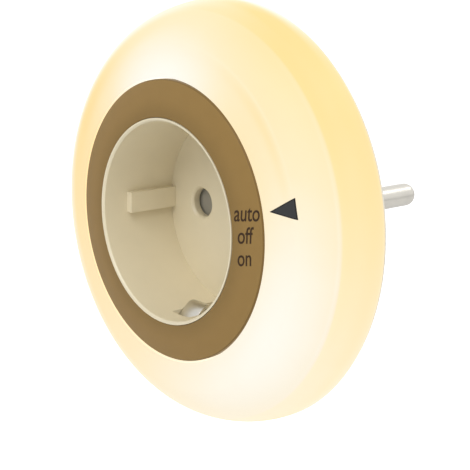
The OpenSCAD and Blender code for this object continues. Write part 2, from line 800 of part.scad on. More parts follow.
module sensor_legs() {
    leg_r = 0.25;
    turn = sensor_len + 0.7;
    turn_r = sensor_r - turn * sin(back_tilt);
    turn_h = back_h(sensor_r) + turn * cos(back_tilt);
    color("silver") facing_front() for (y = [-0.8, 0.8]) {
        at_sensor() translate([0, y, 0]) {
            rod(leg_r, -turn, -sensor_len);
            translate([0, 0, -turn]) sphere(1.2 * leg_r);
        }
        at(sensor_angle, turn_r) translate([0, y, 0]) rod(leg_r, turn_h, board_back_h);
    }
}

// ---- Mains leads from the contacts to the board ----

lead_run_h = foot_in_h + lead_d / 2 + 0.3;
lead_end_x = barrel_r + lead_d + 1.2;

module mains_lead(side) {
    bend = 1.2;
    path = [
        [lead_x, 0, tag_h + tag_t], [lead_x, 0, lead_run_h - bend],
        [lead_x + 0.3 * bend, 0, lead_run_h - 0.3 * bend], [lead_x + bend, 0, lead_run_h],
        [lead_end_x - bend, 0, lead_run_h], [lead_end_x - 0.3 * bend, 0, lead_run_h + 0.3 * bend],
        [lead_end_x, 0, lead_run_h + bend], [lead_end_x, 0, board_back_h]
    ];
    facing_front() rotate([0, 0, side]) tube(path, lead_d / 2, 12);
}

module line_lead() {
    color("saddlebrown") mains_lead(180);
}

module neutral_lead() {
    color("royalblue") mains_lead(0);
}

rear_housing();
plug_shell();
socket_body();
well_floor();
dial_ring();
diffuser();
pointer_mark();
selector_ring();
selector_wiper();
detent_spring();
switch_pads();
circuit_board();
leds();
reflector();
board_screws();
case_screws();
line_pin();
neutral_pin();
line_contact();
neutral_contact();
contact_carrier();
earth_bracket();
shutter();
shutter_spring();
dropper_capacitor();
smoothing_capacitor();
bridge_rectifier();
resistors();
fuse();
switch_transistor();
light_sensor();
sensor_legs();
line_lead();
neutral_lead();
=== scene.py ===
import json
import math

import bmesh
import bpy
from mathutils import Matrix, Vector

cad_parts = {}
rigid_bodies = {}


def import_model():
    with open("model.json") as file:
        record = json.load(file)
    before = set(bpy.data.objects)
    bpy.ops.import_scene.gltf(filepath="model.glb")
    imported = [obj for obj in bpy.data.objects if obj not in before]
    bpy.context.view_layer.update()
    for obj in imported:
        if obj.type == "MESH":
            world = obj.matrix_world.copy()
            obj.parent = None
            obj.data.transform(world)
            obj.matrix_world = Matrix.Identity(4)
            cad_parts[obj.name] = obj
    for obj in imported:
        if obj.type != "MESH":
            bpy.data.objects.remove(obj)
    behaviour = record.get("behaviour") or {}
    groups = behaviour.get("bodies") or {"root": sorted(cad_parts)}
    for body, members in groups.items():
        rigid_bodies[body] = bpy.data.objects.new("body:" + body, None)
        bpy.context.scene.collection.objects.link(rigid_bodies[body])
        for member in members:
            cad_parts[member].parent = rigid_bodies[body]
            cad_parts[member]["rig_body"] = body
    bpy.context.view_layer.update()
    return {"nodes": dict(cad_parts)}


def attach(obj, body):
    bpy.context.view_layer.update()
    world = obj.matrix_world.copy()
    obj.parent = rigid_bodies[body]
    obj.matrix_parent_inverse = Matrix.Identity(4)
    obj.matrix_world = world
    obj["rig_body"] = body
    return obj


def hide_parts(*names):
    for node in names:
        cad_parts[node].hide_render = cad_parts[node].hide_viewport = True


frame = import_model()

MM = 0.001
# Points closer than the first are one, and edges shorter than the second leave no face, in metres
MERGE_M, SLIVER_M = 1e-7, 1e-6


# ---- Sizes in millimetres. Heights count from the end of the plug boss, depths from the well's rim ----

FRONT_H = 41.0
RIM_CENTRE = Vector((0.0, -FRONT_H * MM, 0.0))

# Outline of the diffuser, as (radius, height)
HOLE_EDGE = (27.5, 39.8)
FACE_EDGE = (33.8, 38.5)
SHOULDER = (39.95, 33.1)
REAR_EDGE = (42.0, 24.3)
BAND_HALF_TURN, WALL_HALF_TURN = 19.0, 15.5
DIFFUSER_WALL = 1.6
HUB_R, HUB_ROOT_R = 21.65, 31.8
HUB_FRONT_H, HUB_BACK_H = 38.1, 36.75

# Outline of the dial
DIAL_IN_R, DIAL_OUT_R = 20.0, 27.2
DIAL_TOP, DIAL_EDGE = (20.15, 40.95), (27.0, 39.8)
DIAL_BACK_H = 38.2

POINTER_ANGLE, POINTER_TIP_R = 13.6, 29.05
POINTER_LEN, POINTER_W = 5.55, 3.9

LAMP_STEP, LAMP_CIRCLE_R, LAMP_WINDOW_R = 30.0, 31.65, 1.26
BOARD_MID_R, RESISTOR_LEN = 30.75, 6.0


# ---- Camera ----

def camera():
    focal_px, image_px, sensor_mm = 1334.19, 470.0, 36.0
    distance = 0.25531
    rim_px_right, rim_px_down = 162.72, 222.37
    azimuth, elevation, roll = (math.radians(a) for a in (51.749, 12.822, 0.388))
    back = Vector((math.sin(azimuth) * math.cos(elevation),
                   -math.cos(azimuth) * math.cos(elevation), math.sin(elevation)))
    level = Vector((math.cos(azimuth), math.sin(azimuth), 0.0))
    lift = back.cross(level)
    right = level * math.cos(roll) + lift * math.sin(roll)
    up = lift * math.cos(roll) - level * math.sin(roll)
    # The rim centre stands off the middle of the image, so the camera turns a little away from it
    middle = image_px / 2
    aim = Vector((rim_px_right - middle, middle - rim_px_down, -focal_px)).normalized()
    turn = Vector((0, 0, -1)).rotation_difference(aim).to_matrix()
    axes = turn @ Matrix((right, up, back))
    data = bpy.data.cameras.new("camera")
    data.sensor_width = sensor_mm
    data.lens = focal_px * sensor_mm / image_px
    data.clip_start, data.clip_end = 0.01, 20.0
    cam = bpy.data.objects.new("camera", data)
    bpy.context.scene.collection.objects.link(cam)
    cam.matrix_world = Matrix.Translation(RIM_CENTRE + back * distance) @ axes.transposed().to_4x4()
    bpy.context.scene.camera = cam


camera()


# ---- Node graphs written as sums ----

class Value:
    """A number that varies over a surface: a socket of a material's nodes, with plain arithmetic."""

    def __init__(self, tree, socket):
        self.tree, self.socket = tree, socket

    def op(self, operation, *others):
        node = self.tree.nodes.new("ShaderNodeMath")
        node.operation = operation
        for slot, item in zip(node.inputs, (self,) + others):
            if isinstance(item, Value):
                self.tree.links.new(item.socket, slot)
            else:
                slot.default_value = item
        return Value(self.tree, node.outputs[0])

    def __add__(self, other):
        return self.op("ADD", other)

    def __sub__(self, other):
        return self.op("SUBTRACT", other)

    def __mul__(self, other):
        return self.op("MULTIPLY", other)

    def __truediv__(self, other):
        return self.op("DIVIDE", other)

    def __neg__(self):
        return self * -1.0

    def at_least(self, other):
        return self.op("MAXIMUM", other)

    def at_most(self, other):
        return self.op("MINIMUM", other)

    def between(self, low=0.0, high=1.0):
        return self.at_least(low).at_most(high)

    def inverse(self):
        return self * -1.0 + 1.0

    def bell(self, centre, width):
        """1 at the centre, falling to 1/e at the width."""
        d = (self - centre) / width
        return (-(d * d)).op("EXPONENT")

    def angle_bell(self, centre, width):
        """The same for an angle in degrees, all round the circle."""
        d = (self - centre).op("WRAP", 180.0, -180.0) / width
        return (-(d * d)).op("EXPONENT")

    def nearest(self, step):
        """The distance, with its sign, to the nearest of the places that lie a step apart."""
        return (self / step).op("WRAP", 0.5, -0.5) * step

    def rise(self, start, end):
        """0 up to the start, rising smoothly to 1 at the end."""
        node = self.tree.nodes.new("ShaderNodeMapRange")
        node.interpolation_type = "SMOOTHSTEP"
        node.inputs["From Min"].default_value = start
        node.inputs["From Max"].default_value = end
        self.tree.links.new(self.socket, node.inputs["Value"])
        return Value(self.tree, node.outputs["Result"])

    def fall(self, start, end):
        return self.rise(start, end).inverse()

    def ramp(self, stops, blend="LINEAR"):
        """A colour from a list of (place, colour)."""
        node = self.tree.nodes.new("ShaderNodeValToRGB")
        line = node.color_ramp
        line.interpolation = blend
        while len(line.elements) < len(stops):
            line.elements.new(0.5)
        for element, (place, colour) in zip(line.elements, stops):
            element.position, element.color = place, (*colour, 1.0)
        self.tree.links.new(self.socket, node.inputs["Fac"])
        return node.outputs["Color"]


def linear(red, green, blue):
    """A colour written in 0 to 255 steps, as the shader takes it."""
    def one(c):
        c /= 255.0
        return c / 12.92 if c <= 0.04045 else ((c + 0.055) / 1.055) ** 2.4
    return one(red), one(green), one(blue)


def shade(colour, factor):
    return tuple(min(c * factor, 1.0) for c in colour)


class Finish:
    """A material whose colour, gloss and relief all come from noise in the object's own millimetres."""

    def __init__(self, name, rough, metallic=0.0, **sockets):
        self.material = bpy.data.materials.new(name)
        self.material.use_nodes = True
        self.tree = self.material.node_tree
        self.shader = self.tree.nodes["Principled BSDF"]
        self.set("Roughness", rough)
        self.set("Metallic", metallic)
        for key, value in sockets.items():
            self.set(key.replace("_", " "), value)
        place = self.tree.nodes.new("ShaderNodeTexCoord").outputs["Object"]
        self.place = self.scaled(place, 1.0 / MM)

    def set(self, name, value):
        self.shader.inputs[name].default_value = value

    def link(self, value, name):
        socket = value.socket if isinstance(value, Value) else value
        self.tree.links.new(socket, self.shader.inputs[name])

    def scaled(self, vector, factor):
        node = self.tree.nodes.new("ShaderNodeVectorMath")
        node.operation = "SCALE"
        node.inputs["Scale"].default_value = factor
        self.tree.links.new(vector, node.inputs[0])
        return node.outputs[0]

    def axes(self):
        node = self.tree.nodes.new("ShaderNodeSeparateXYZ")
        self.tree.links.new(self.place, node.inputs[0])
        return [Value(self.tree, s) for s in node.outputs]

    def polar(self):
        """The angle in degrees and the radius about the plug's axis, and the depth from the front rim."""
        x, y, z = self.axes()
        return z.op("ARCTAN2", x) * (180.0 / math.pi), (x * x + z * z).op("SQRT"), y + FRONT_H

    def stretched(self, x, y, z):
        """The place in millimetres, times a factor along each axis."""
        node = self.tree.nodes.new("ShaderNodeVectorMath")
        node.operation = "MULTIPLY"
        node.inputs[1].default_value = (x, y, z)
        self.tree.links.new(self.place, node.inputs[0])
        return node.outputs[0]

    def noise(self, per_mm, detail=3.0, place=None):
        node = self.tree.nodes.new("ShaderNodeTexNoise")
        node.inputs["Scale"].default_value = per_mm
        node.inputs["Detail"].default_value = detail
        self.tree.links.new(place or self.place, node.inputs["Vector"])
        return Value(self.tree, node.outputs["Fac"])

    def relief(self, height, depth_mm):
        node = self.tree.nodes.new("ShaderNodeBump")
        node.inputs["Distance"].default_value = depth_mm * MM
        self.tree.links.new(height.socket, node.inputs["Height"])
        self.tree.links.new(node.outputs["Normal"], self.shader.inputs["Normal"])


def moulded(name, colour, rough, mottle=0.05, grain=7.0, depth=0.006, **sockets):
    """Plastic as it leaves the mould: a faint cloudiness and a fine even grain."""
    f = Finish(name, rough, **sockets)
    cloud = f.noise(0.22, 2.0).rise(0.25, 0.75)
    fine = f.noise(grain, 2.0)
    tone = cloud * 0.7 + fine * 0.3
    darker, lighter = shade(colour, 1.0 - mottle), shade(colour, 1.0 + mottle)
    f.link(tone.ramp([(0.0, darker), (1.0, lighter)]), "Base Color")
    f.link(f.noise(1.1, 3.0) * 0.12 + (rough - 0.06), "Roughness")
    f.relief(fine, depth)
    return f.material


def drawn_metal(name, colour, rough, along, tarnish=0.12, depth=0.004):
    """Metal with fine lines along one axis and a slight tarnish."""
    f = Finish(name, rough, 1.0)
    stretch = [6.0, 6.0, 6.0]
    stretch["xyz".index(along)] = 0.25
    lines = f.noise(1.0, 1.0, f.stretched(*stretch))
    patch = f.noise(0.35, 3.0).rise(0.4, 0.75)
    bright, dull = shade(colour, 1.04), shade(colour, 1.0 - tarnish)
    f.link((lines * 0.35 + patch * 0.65).ramp([(0.0, bright), (1.0, dull)]), "Base Color")
    f.link(lines * (rough * 0.16) + patch * (rough * 0.1) + rough * 0.87, "Roughness")
    f.relief(lines, depth)
    return f.material


# ---- Shapes ----

def arc(p, q, half_turn, steps):
    """Points of an arc from p to q that turns clockwise by twice half_turn degrees."""
    p, q = Vector(p), Vector(q)
    way = q - p
    half = math.radians(half_turn)
    radius = way.length / (2 * math.sin(half))
    centre = (p + q) / 2 + Vector((way.y, -way.x)).normalized() * radius * math.cos(half)
    start = math.atan2(p.y - centre.y, p.x - centre.x)
    return [(centre.x + radius * math.cos(start - 2 * half * i / steps),
             centre.y + radius * math.sin(start - 2 * half * i / steps)) for i in range(steps + 1)]


def face_outwards(bm):
    """Turns the faces outwards, also on a thin shape that the operator would leave inside out."""
    bmesh.ops.recalc_face_normals(bm, faces=bm.faces)
    if bm.calc_volume(signed=True) < 0:
        bmesh.ops.reverse_faces(bm, faces=bm.faces)


def finished(name, bm, material, body, slot, *nodes):
    """Makes a piece that rides on a body and stands for the model's nodes that are named, if any."""
    face_outwards(bm)
    mesh = bpy.data.meshes.new(name)
    bm.to_mesh(mesh)
    bm.free()
    for polygon in mesh.polygons:
        polygon.use_smooth = True
    mesh.set_sharp_from_angle(angle=math.radians(32))
    mesh.materials.append(material)
    piece = bpy.data.objects.new(name, mesh)
    bpy.context.scene.collection.objects.link(piece)
    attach(piece, body)
    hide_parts(*nodes)
    return piece


def lathe(profile, steps, round_mm, over_angle):
    """Spins a closed outline of (radius, height) in millimetres about the plug's axis."""
    bm = bmesh.new()
    verts = [bm.verts.new((r * MM, -h * MM, 0.0)) for r, h in profile]
    edges = [bm.edges.new((a, b)) for a, b in zip(verts, verts[1:] + verts[:1])]
    bmesh.ops.spin(bm, geom=verts + edges, cent=(0, 0, 0), axis=(0, 1, 0), dvec=(0, 0, 0),
                   angle=math.tau, steps=steps, use_merge=True, use_duplicate=False)
    bmesh.ops.remove_doubles(bm, verts=bm.verts, dist=MERGE_M)
    face_outwards(bm)
    soften(bm, round_mm, over_angle)
    return bm


def soften(bm, round_mm, over_angle):
    """Rounds the edges whose faces turn by more than the angle, in degrees."""
    sharp = [e for e in bm.edges if len(e.link_faces) == 2
             and e.calc_face_angle() > math.radians(over_angle)]
    bmesh.ops.bevel(bm, geom=sharp, offset=round_mm * MM, offset_type="OFFSET", segments=2,
                    profile=0.5, affect="EDGES", clamp_overlap=True, material=-1)
    bmesh.ops.dissolve_degenerate(bm, dist=SLIVER_M, edges=bm.edges)


def softened(node, material, slot, round_mm):
    """A copy of one of the model's nodes with its corners joined and its sharp edges rounded."""
    source = frame["nodes"][node]
    bm = bmesh.new()
    bm.from_mesh(source.data)
    bmesh.ops.remove_doubles(bm, verts=bm.verts, dist=MERGE_M)
    bmesh.ops.dissolve_limit(bm, angle_limit=math.radians(0.1), verts=bm.verts, edges=bm.edges)
    face_outwards(bm)
    if round_mm:
        soften(bm, round_mm, over_angle=35.0)
    piece = finished(node + "_piece", bm, material, source["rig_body"], slot, node)
    even = piece.modifiers.new("even_flats", "WEIGHTED_NORMAL")
    even.keep_sharp = True
    return piece


# ---- Glowing diffuser ----

# The glow where least and most light comes through, with two steps between
GLOW = [(0.0, linear(254, 221, 150)), (0.5, linear(254, 235, 195)),
        (0.8, linear(254, 245, 225)), (1.0, linear(255, 251, 240))]


def front_glow(angle, radius):
    """How much light comes through the flat face and the rounded band, from 0 to 1."""
    bottom = angle.angle_bell(-92.0, 90.0)
    low_right = angle.angle_bell(-27.0, 67.0) * radius.bell(33.1, 11.3)
    top = angle.angle_bell(95.0, 38.0) * radius.bell(21.8, 16.3)
    upper_right = angle.angle_bell(45.0, 35.0)
    upper_right_band = angle.angle_bell(65.0, 17.0) * radius.rise(33.0, 44.0)
    face_r = FACE_EDGE[0]
    inside_edge = angle.angle_bell(38.0, 20.0) * radius.bell(face_r - 1.0, 0.9)
    edge_line = angle.angle_bell(46.0, 20.0) * radius.bell(face_r + 0.35, 0.3)
    bright = bottom * 0.26 + low_right * 0.69 + top * 1.03 + edge_line * 0.09
    dark = upper_right * 0.06 + upper_right_band * 0.12 + inside_edge * 0.13
    return bright - dark + 0.11


def side_glow(angle, depth, wall):
    """What the shoulder and the side wall add to the front's glow: the wall is 1 on the side wall."""
    shoulder, rear = FRONT_H - SHOULDER[1], FRONT_H - REAR_EDGE[1]
    shoulder_line = angle.angle_bell(8.0, 42.0) * depth.bell(shoulder - 0.4, 0.28)
    under_shoulder = angle.angle_bell(20.0, 60.0) * depth.bell(shoulder + 0.6, 2.0)
    upper_streak = angle.angle_bell(76.0, 14.0) * depth.bell(rear - 4.3, 1.3)
    dim = angle.angle_bell(12.0, 60.0) * 0.21 + depth.bell(rear - 3.1, 2.6) * 0.04
    dim = dim + under_shoulder * 0.08 + upper_streak * 0.14
    rear_band = angle.angle_bell(75.0, 19.0) * 0.8 + angle.angle_bell(-56.0, 42.0) * 0.1
    rim = depth.rise(rear - 0.9, rear - 0.1) * 0.12
    return shoulder_line * 0.07 + wall * (depth.rise(rear - 3.0, rear - 0.3) * rear_band + rim - dim)


def aslant_glow(x, z, angle):
    """What the skin seen aslant at the top left adds: a dark streak, then light towards the outline."""
    centre_x, centre_z = 6.0, 2.0
    off_centre = ((x - centre_x) * (x - centre_x) + (z - centre_z) * (z - centre_z)).op("SQRT")
    streak = angle.angle_bell(135.0, 28.0) * off_centre.bell(37.0, 2.1)
    outline = angle.angle_bell(152.0, 80.0) * off_centre.rise(38.0, 40.5)
    return outline * 0.52 - streak * 0.2


def opal_glow():
    """Opal plastic lit by the lamps behind it: brightest low on the right and at the top."""
    f = Finish("diffuser_opal", 0.5, Specular_IOR_Level=0.25)
    x, _, z = f.axes()
    angle, radius, depth = f.polar()
    wall = depth.rise(FRONT_H - SHOULDER[1] - 0.15, FRONT_H - SHOULDER[1] + 0.35)
    cloud = f.noise(0.12, 2.0) - 0.5
    speck = f.noise(5.0, 2.0)
    level = front_glow(angle, radius) + side_glow(angle, depth, wall) + aslant_glow(x, z, angle)
    level = (level + cloud * 0.06 + (speck - 0.5) * 0.02).between()
    light = level.ramp(GLOW)
    f.link(f.scaled(light, 0.3), "Base Color")
    f.link(light, "Emission Color")
    # The wall of the hole, which the dial shades, gives all its light itself
    hole_r, hole_depth = HOLE_EDGE[0], FRONT_H - HOLE_EDGE[1]
    hole = radius.fall(hole_r, hole_r + 0.1) * depth.rise(hole_depth + 0.02, hole_depth + 0.1)
    low_wall = wall * angle.angle_bell(-20.0, 48.0)
    f.link(hole * 0.3 + low_wall * 0.05 + 0.7, "Emission Strength")
    f.link(speck * 0.08 + 0.48, "Roughness")
    f.relief(speck, 0.003)
    return f.material


def moved_left(path, d):
    """A path moved to its left by d, with mitred corners."""
    def left(p, q):
        way = Vector(q) - Vector(p)
        return Vector((-way.y, way.x)).normalized()
    out, last = [], len(path) - 1
    for i, point in enumerate(path):
        a = left(path[max(i - 1, 0)], path[max(i, 1)])
        b = left(path[min(i, last - 1)], path[min(i + 1, last)])
        moved = Vector(point) + (a + b) / (1 + a.dot(b)) * d
        out.append((moved.x, moved.y))
    return out


def glow_diffuser():
    face = [tuple(Vector(HOLE_EDGE).lerp(FACE_EDGE, i / 6)) for i in range(6)]
    band = arc(FACE_EDGE, SHOULDER, BAND_HALF_TURN, 20)
    wall = arc(SHOULDER, REAR_EDGE, WALL_HALF_TURN, 16)
    outer = face + band + wall[1:]
    inner = moved_left(outer, -DIFFUSER_WALL)[1:]
    hub = [(HUB_R, HUB_BACK_H), (HUB_R, HUB_FRONT_H), (HOLE_EDGE[0], HUB_FRONT_H)]
    profile = hub + outer + inner[::-1] + [(HUB_ROOT_R, HUB_BACK_H)]
    bm = lathe(profile, steps=216, round_mm=0.12, over_angle=50.0)
    return finished("glow_diffuser", bm, opal_glow(), "selector", "diffuser_opal", "diffuser")


# ---- Bronze dial and its words ----

def bronze_lacquer():
    """Satin bronze with painted shade that darkens it towards the well, and a darker painted shadow line on
    the edge that meets the diffuser.
    """
    f = Finish("dial_bronze", 0.45, Specular_IOR_Level=0.2)
    _, radius, _ = f.polar()
    cloud = f.noise(0.25, 2.0)
    fine = f.noise(9.0, 2.0)
    # The rise over the radius is painted shade, darker towards the well; the cloud and the fine noise are
    # the lacquer's own mottle
    tone = radius.rise(20.0, 24.0) * 0.5 + (cloud - 0.5) * 0.3 + (fine - 0.5) * 0.16 + 0.3
    # A painted shadow line on the outer edge, standing for the shade in the gap between the dial and the
    # diffuser
    edge = radius.rise(DIAL_EDGE[0] - 0.05, DIAL_EDGE[0] + 0.05)
    # The darkest stop is the painted shadow line at the edge, and the next is the painted shade near the
    # well
    shades = [(0.0, linear(118, 94, 52)), (0.3, linear(134, 107, 60)), (1.0, linear(148, 118, 67))]
    f.link((tone.between(0.28, 1.0) - edge).between().ramp(shades), "Base Color")
    f.link(fine * 0.12 + 0.36, "Roughness")
    f.relief(fine, 0.004)
    return f.material


def bronze_dial():
    outer_side = [(DIAL_OUT_R, DIAL_BACK_H), (DIAL_OUT_R, DIAL_EDGE[1] - 0.2)]
    inner_side = [(DIAL_IN_R, DIAL_TOP[1] - 0.15), (DIAL_IN_R, DIAL_BACK_H)]
    profile = outer_side + [DIAL_EDGE, DIAL_TOP] + inner_side
    bm = lathe(profile, steps=192, round_mm=0.06, over_angle=20.0)
    return finished("bronze_dial", bm, bronze_lacquer(), "housing", "dial_bronze", "dial_ring")


def dial_height(radius):
    """The height of the dial's sloping face."""
    (top_r, top_h), (edge_r, edge_h) = DIAL_TOP, DIAL_EDGE
    return top_h + (edge_h - top_h) * (radius - top_r) / (edge_r - top_r)


def dial_word(word, start, end, ink):
    """One printed word, laid on the sloping face of the dial from its start to its end, as (x, z)."""
    letter_scale, proud, sunk = 4.3, 0.035, -0.03
    curve = bpy.data.curves.new("word_" + word, "FONT")
    curve.body = word
    curve.size = 1.0
    curve.extrude = 0.02
    curve.offset = 0.006
    drawn = bpy.data.objects.new("drawn_" + word, curve)
    bpy.context.scene.collection.objects.link(drawn)
    mesh = bpy.data.meshes.new_from_object(
        drawn.evaluated_get(bpy.context.evaluated_depsgraph_get()))
    bpy.data.objects.remove(drawn)
    bm = bmesh.new()
    bm.from_mesh(mesh)
    bmesh.ops.remove_doubles(bm, verts=bm.verts, dist=1e-5)
    low, high = min(v.co.x for v in bm.verts), max(v.co.x for v in bm.verts)
    for v in bm.verts:
        x, z = Vector(start).lerp(end, (v.co.x - low) / (high - low))
        z += v.co.y * letter_scale
        h = dial_height(math.hypot(x, z)) + (proud if v.co.z > 0 else sunk)
        v.co = (x * MM, -h * MM, z * MM)
    return finished("word_" + word, bm, ink, "housing", "pointer_print")


def dial_words():
    ink = moulded("dial_ink", linear(60, 43, 28), 0.6, mottle=0.08, grain=8.0, depth=0.002,
                  Specular_IOR_Level=0.15)
    dial_word("auto", (20.41, 3.93), (26.1, 4.84), ink)
    dial_word("off", (21.41, -0.01), (24.9, 0.59), ink)
    dial_word("on", (21.45, -4.18), (24.53, -3.62), ink)


# ---- Pointer ----

def pointer_print():
    """Slate grey with a darker line round its edge."""
    f = Finish("pointer_print", 0.6, Specular_IOR_Level=0.15)
    x, _, z = f.axes()
    turn = math.radians(POINTER_ANGLE)
    along = x * math.cos(turn) + z * math.sin(turn) - POINTER_TIP_R
    across = (z * math.cos(turn) - x * math.sin(turn)).op("ABSOLUTE")
    # The distance inwards from the nearer flank, and from the base where that is less
    flank = math.atan2(POINTER_W / 2, POINTER_LEN)
    inwards = (along * math.tan(flank) - across) * math.cos(flank)
    inwards = inwards.at_most(-(along - POINTER_LEN))
    fine = f.noise(8.0, 2.0)
    f.link((inwards.rise(0.12, 0.26) * 0.9 + fine * 0.1).ramp(
        [(0.0, linear(25, 24, 22)), (1.0, linear(58, 59, 60))]), "Base Color")
    f.link(fine * 0.1 + 0.55, "Roughness")
    f.relief(fine, 0.003)
    return f.material


# ---- Earth bracket ----

def swell(share):
    """1 at a share of 0, falling in a smooth wave to 0 at a share of 1."""
    return 0.5 + 0.5 * math.cos(math.pi * share)


def bracket_arm():
    """One arm of the strip as (z, height), from its end in the well to the boss's end face."""
    well_z, boss_z = 20.9, 18.0
    # The sprung bulge into the well
    bulge_in, bulge_front_h, bulge_h, bulge_back_h = 3.0, 35.9, 31.4, 26.9
    bulge = []
    for i in range(17):
        h = bulge_front_h + (bulge_back_h - bulge_front_h) * i / 16
        half = bulge_front_h - bulge_h if h > bulge_h else bulge_h - bulge_back_h
        bulge.append((well_z - bulge_in * swell((h - bulge_h) / half), h))
    # The step from the well's wall in to the boss's
    step_h, step_len, step_slope = 21.6, 1.4, 0.45
    step = []
    for i in range(7):
        share = i / 6
        z = boss_z + (well_z - boss_z - step_slope) * swell(share) + step_slope * (1 - share)
        step.append((z, step_h - step_len * share))
    # The bend round the corner of the boss
    corner_h, corner_in, corner_down = 3.8, 1.0, 0.95
    corner = []
    for i in range(7):
        turn = math.radians(15.0 * i)
        corner.append((boss_z - corner_in * (1 - math.cos(turn)), corner_h - corner_down * math.sin(turn)))
    return bulge + step + corner


def earth_bracket(nickel):
    """One bent strip with a smooth sprung bulge at the top and at the bottom of the well."""
    strip_w, half_t = 5.0, 0.35
    arm = bracket_arm()
    path = arm + [(-z, h) for z, h in reversed(arm)]
    outline = moved_left(path, half_t) + moved_left(path, -half_t)[::-1]
    bm = bmesh.new()
    side = bm.faces.new([bm.verts.new((-strip_w / 2 * MM, -h * MM, z * MM)) for z, h in outline])
    grown = bmesh.ops.extrude_face_region(bm, geom=[side])
    bmesh.ops.translate(bm, vec=(strip_w * MM, 0, 0),
                        verts=[v for v in grown["geom"] if isinstance(v, bmesh.types.BMVert)])
    face_outwards(bm)
    soften(bm, round_mm=0.12, over_angle=50.0)
    return finished("earth_bracket_piece", bm, nickel, "housing", "pin_nickel", "earth_bracket")


# ---- The rest of the light ----

def housings():
    cream = moulded("well_plastic", linear(224, 213, 184), 0.34, mottle=0.015, grain=6.0, depth=0.003)
    white = moulded("housing_plastic", linear(236, 230, 215), 0.5, mottle=0.015, grain=5.0, depth=0.01)
    for node in ("socket_body", "well_floor"):
        softened(node, cream, "well_plastic", round_mm=0.12)
    for node in ("rear_housing", "plug_shell"):
        softened(node, white, "housing_plastic", round_mm=0.12)


def metal_parts():
    nickel = drawn_metal("pin_nickel", linear(214, 210, 201), 0.3, "y", tarnish=0.04, depth=0.0002)
    brass = drawn_metal("contact_brass", linear(196, 160, 90), 0.33, "y")
    steel = drawn_metal("spring_steel", linear(176, 178, 182), 0.3, "y")
    zinc = drawn_metal("screw_zinc", linear(190, 190, 184), 0.32, "x", tarnish=0.08)
    copper = drawn_metal("pad_copper", linear(214, 160, 96), 0.35, "x")
    for slot, material, nodes in (
            ("pin_nickel", nickel, ("line_pin", "neutral_pin")),
            ("contact_brass", brass, ("line_contact", "neutral_contact", "selector_wiper")),
            ("spring_steel", steel, ("detent_spring", "sensor_legs")),
            ("screw_zinc", zinc, ("board_screws", "case_screws")),
            ("pad_copper", copper, ("switch_pads",))):
        for node in nodes:
            softened(node, material, slot, round_mm=0.06)
    softened("shutter_spring", steel, "spring_steel", round_mm=0.0)
    earth_bracket(drawn_metal("clip_nickel", linear(208, 205, 197), 0.3, "y", tarnish=0.05, depth=0.0004))


def banded_resistors():
    """Blue lacquer with four colour bands across each resistor, and plain caps."""
    f = Finish("resistor_body", 0.32)
    _, radius, _ = f.polar()
    blue, cap = linear(84, 134, 176), linear(120, 158, 190)
    cap_len, band_w = 1.0, 0.35
    # Each band's start, in millimetres from the inner end of the resistor
    bands = [(1.1, linear(96, 56, 30)), (1.9, linear(30, 28, 28)), (2.7, linear(206, 110, 40)),
             (4.1, linear(178, 146, 66))]
    stops = [(0.0, cap), (cap_len, blue)]
    for start, colour in bands:
        stops += [(start, colour), (start + band_w, blue)]
    stops.append((RESISTOR_LEN - cap_len, cap))
    along = (radius - (BOARD_MID_R - RESISTOR_LEN / 2)) / RESISTOR_LEN
    shares = [(place / RESISTOR_LEN, colour) for place, colour in stops]
    f.link(along.ramp(shares, "CONSTANT"), "Base Color")
    fine = f.noise(6.0, 2.0)
    f.link(fine * 0.12 + 0.28, "Roughness")
    f.relief(fine, 0.003)
    softened("resistors", f.material, "resistor_body", round_mm=0.06)


def lit_lamps():
    """White packages, each with a round window of yellow phosphor that glows."""
    f = Finish("lamp_package", 0.35)
    angle, radius, depth = f.polar()
    sideways = (angle - LAMP_STEP / 2).nearest(LAMP_STEP) * math.radians(1.0) * radius
    outwards = radius - LAMP_CIRCLE_R
    from_middle = (sideways * sideways + outwards * outwards).op("SQRT")
    front = depth.fall(12.0, 12.4)
    window = from_middle.fall(LAMP_WINDOW_R - 0.06, LAMP_WINDOW_R + 0.06) * front
    fine = f.noise(6.0, 2.0)
    colours = [(0.0, linear(240, 238, 230)), (0.1, linear(246, 244, 238)), (1.0, linear(255, 214, 92))]
    f.link((window * 0.92 + fine * 0.08).ramp(colours), "Base Color")
    f.set("Emission Color", (*linear(255, 232, 150), 1.0))
    f.link(window * 0.8, "Emission Strength")
    f.link(window * -0.12 + 0.4, "Roughness")
    f.relief(fine, 0.002)
    softened("leds", f.material, "lamp_package", round_mm=0.08)


def etched_board():
    """Green solder mask over round and straight copper tracks, with the weave of the glass below."""
    f = Finish("board_laminate", 0.3)
    angle, radius, _ = f.polar()
    ring_r, ring_gap, spoke_step = 24.2, 2.2, 15.0
    half_ring, half_spoke, blur = 0.35, 0.3, 0.07
    off_ring = (radius - ring_r).nearest(ring_gap).op("ABSOLUTE")
    turn = (angle - spoke_step / 2).nearest(spoke_step) * math.radians(1.0)
    off_spoke = (turn * radius).op("ABSOLUTE")
    rings, spokes = off_ring.fall(half_ring, half_ring + blur), off_spoke.fall(half_spoke, half_spoke + blur)
    # Some stretches of the board have the rings and the others the spokes
    stretch = f.noise(0.11, 0.0).rise(0.49, 0.5)
    track = rings * stretch.inverse() + spokes * stretch
    weave = f.noise(1.0, 1.0, f.stretched(4.0, 1.0, 0.4)) + f.noise(1.0, 1.0, f.stretched(0.4, 1.0, 4.0))
    weave = weave * 0.5
    greens = [(0.0, linear(34, 82, 50)), (0.35, linear(46, 98, 62)), (0.8, linear(84, 142, 88))]
    f.link((track * 0.55 + weave * 0.3).ramp(greens), "Base Color")
    f.link(weave * 0.12 + 0.24, "Roughness")
    f.relief(track * 0.8 + weave * 0.2, 0.02)
    softened("circuit_board", f.material, "board_laminate", round_mm=0.08)


